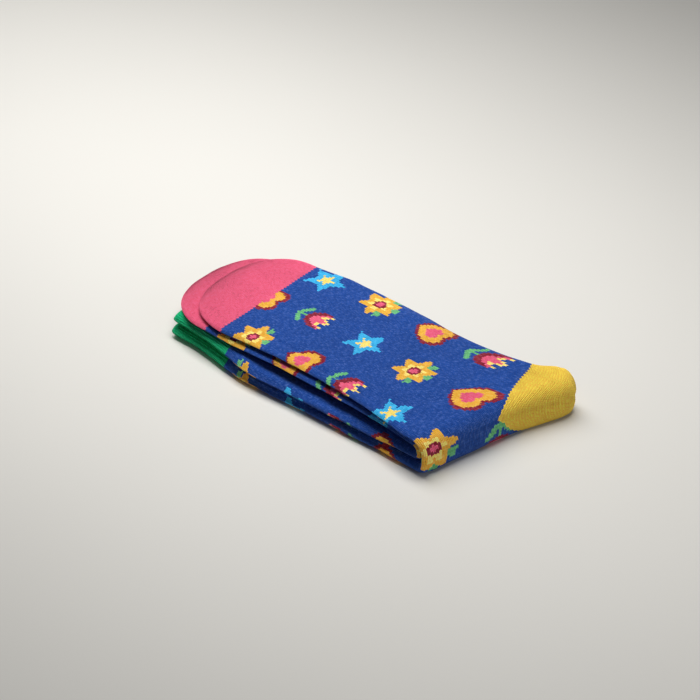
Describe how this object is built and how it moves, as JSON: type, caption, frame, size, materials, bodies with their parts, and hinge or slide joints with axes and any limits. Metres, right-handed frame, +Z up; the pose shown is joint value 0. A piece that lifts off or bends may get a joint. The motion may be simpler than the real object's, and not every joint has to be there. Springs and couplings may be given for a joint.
{
  "type": "folded pair of crew socks",
  "caption": "Pair of patterned crew socks with ribbed cuffs, contrast heels and toes, laid flat and folded in half at the ankle.",
  "frame": {"origin": "under the middle of the folded pair's box, on the surface that it lies on", "axes": "+X from the cuffs and toes to the fold, +Y from the instep side to the heel side, +Z up"},
  "size_m": [0.2566, 0.1162, 0.0257],
  "materials": {
    "cuff_rib": "matt ribbed knit, green",
    "patterned_knit": "matt plain knit, royal blue with small knitted-in motifs",
    "heel_knit": "matt plain knit, yellow",
    "toe_knit": "matt plain knit, pink"
  },
  "bodies": {
    "root": {"outer_cuff": "cuff_rib", "outer_body": "patterned_knit", "outer_heel": "heel_knit", "outer_toe": "toe_knit", "inner_cuff": "cuff_rib", "inner_body": "patterned_knit", "inner_heel": "heel_knit", "inner_toe": "toe_knit"}
  },
  "joints": []
}
